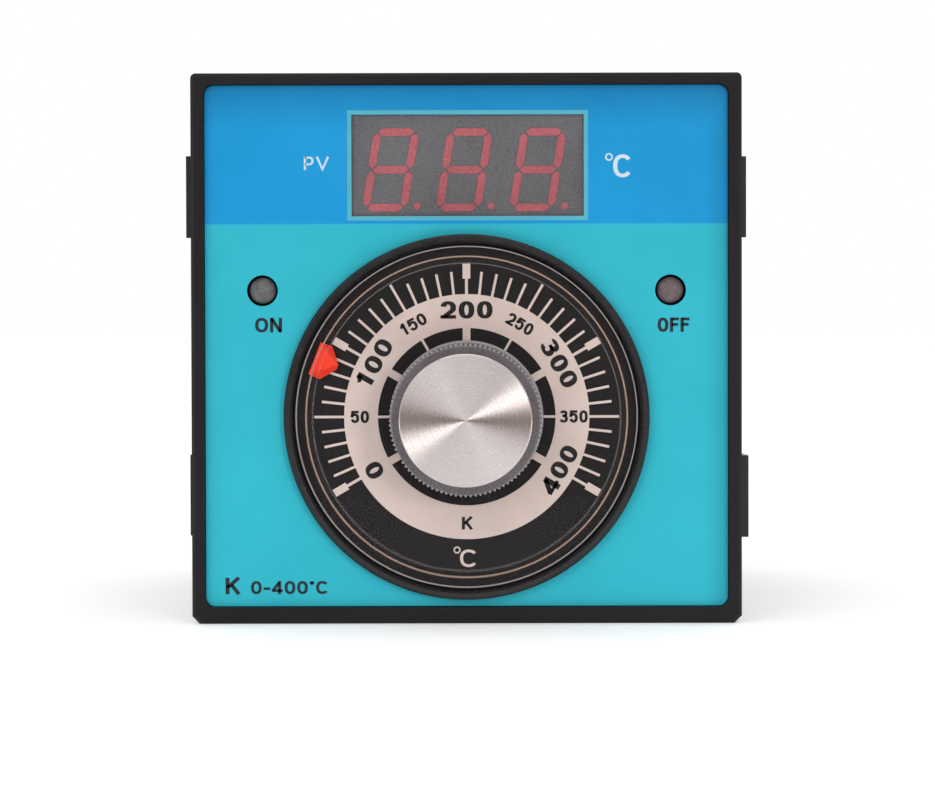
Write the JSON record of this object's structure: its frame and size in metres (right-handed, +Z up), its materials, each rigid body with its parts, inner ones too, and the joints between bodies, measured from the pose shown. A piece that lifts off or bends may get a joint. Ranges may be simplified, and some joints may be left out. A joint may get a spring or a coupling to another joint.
{
  "type": "oven temperature controller",
  "caption": "Square panel-mounted oven temperature controller with digital display, lamps, knurled set dial on a degree scale, deep housing, side ratchet clamps and rear screw terminals.",
  "frame": {"origin": "centre of the panel cut-out, in the plane of the bezel's back face", "axes": "+X to the right and +Z up when facing the instrument, +Y into the panel, along the housing"},
  "size_m": [0.1006, 0.1178, 0.096],
  "materials": {
    "black_moulding": "fine-grained black ABS moulding",
    "housing_moulding": "black moulded plastic",
    "face_print": "printed film, blue band above a teal field",
    "tinted_window": "smoke-tinted clear film",
    "scale_print": "black plate printed with a cream scale",
    "clear_acrylic": "polished clear acrylic",
    "pointer_red": "red filled mark",
    "spun_aluminium": "spun face with fine circular lines",
    "brass": "turned brass",
    "steel": "zinc-plated steel",
    "tinned_contact": "nickel-plated contact metal",
    "display_shell": "grey display shell",
    "segment_red": "translucent red diffuser, unlit",
    "lamp_lens": "clear grey lens, unlit",
    "circuit_board": "green glass-fibre board",
    "core_steel": "varnished laminated steel",
    "coil_tape": "taped copper winding",
    "relay_case": "blue relay case",
    "capacitor_sleeve": "shrink sleeve",
    "black_epoxy": "moulded epoxy",
    "heatsink_black": "anodised black",
    "trimmer_blue": "blue trimmer body",
    "ribbon_grey": "grey ribbon insulation",
    "terminal_moulding": "black phenolic moulding"
  },
  "bodies": {
    "instrument": {"bezel": "black_moulding", "face_overlay": "face_print", "display_window": "tinted_window", "dial_ring": "black_moulding", "scale_plate": "scale_print", "potentiometer": "steel", "potentiometer_nut": "brass", "potentiometer_washer": "steel", "potentiometer_lugs": "tinned_contact", "display_module": "display_shell", "display_segments": "segment_red", "display_pins": "tinned_contact", "lamp_on": "lamp_lens", "lamp_off": "lamp_lens", "display_board": "circuit_board", "display_board_screws": "steel", "housing": "housing_moulding", "rear_cover": "housing_moulding", "rear_cover_screws": "steel", "terminal_block_left": "terminal_moulding", "terminal_block_right": "terminal_moulding", "terminal_plates": "tinned_contact", "terminal_washers": "steel", "terminal_screws": "steel", "main_board": "circuit_board", "rear_board": "circuit_board", "transformer_core": "core_steel", "transformer_coil": "coil_tape", "output_relay": "relay_case", "capacitors": "capacitor_sleeve", "heatsink": "heatsink_black", "regulator": "black_epoxy", "amplifier_chips": "black_epoxy", "calibration_trimmers": "trimmer_blue", "rectifier_diodes": "black_epoxy", "ribbon_cable": "ribbon_grey", "ribbon_sockets": "black_epoxy", "board_header": "tinned_contact"},
    "dial": {"dial_knob": "clear_acrylic", "dial_pointer": "pointer_red", "knob_cap": "spun_aluminium", "knob_insert": "brass", "dial_shaft": "steel"},
    "clamp_upper_left": {"clamp_upper_left": "housing_moulding"},
    "clamp_upper_right": {"clamp_upper_right": "housing_moulding"},
    "clamp_lower_left": {"clamp_lower_left": "housing_moulding"},
    "clamp_lower_right": {"clamp_lower_right": "housing_moulding"}
  },
  "joints": [
    {"name": "dial_turn", "type": "hinge", "parent": "instrument", "child": "dial", "pos_m": [0, -0.0125, -0.0119], "axis": [0, 1, 0], "range_deg": [-66.2, 203.8]},
    {"name": "clamp_upper_left_slide", "type": "slide", "parent": "instrument", "child": "clamp_upper_left", "axis": [0, 1, 0], "range_m": [-0.002, 0.0445]},
    {"name": "clamp_lower_right_slide", "type": "slide", "parent": "instrument", "child": "clamp_lower_right", "axis": [0, 1, 0], "range_m": [-0.002, 0.0445]},
    {"name": "clamp_upper_right_slide", "type": "slide", "parent": "instrument", "child": "clamp_upper_right", "axis": [0, 1, 0], "range_m": [-0.007, 0.0395]},
    {"name": "clamp_lower_left_slide", "type": "slide", "parent": "instrument", "child": "clamp_lower_left", "axis": [0, 1, 0], "range_m": [-0.007, 0.0395]}
  ]
}
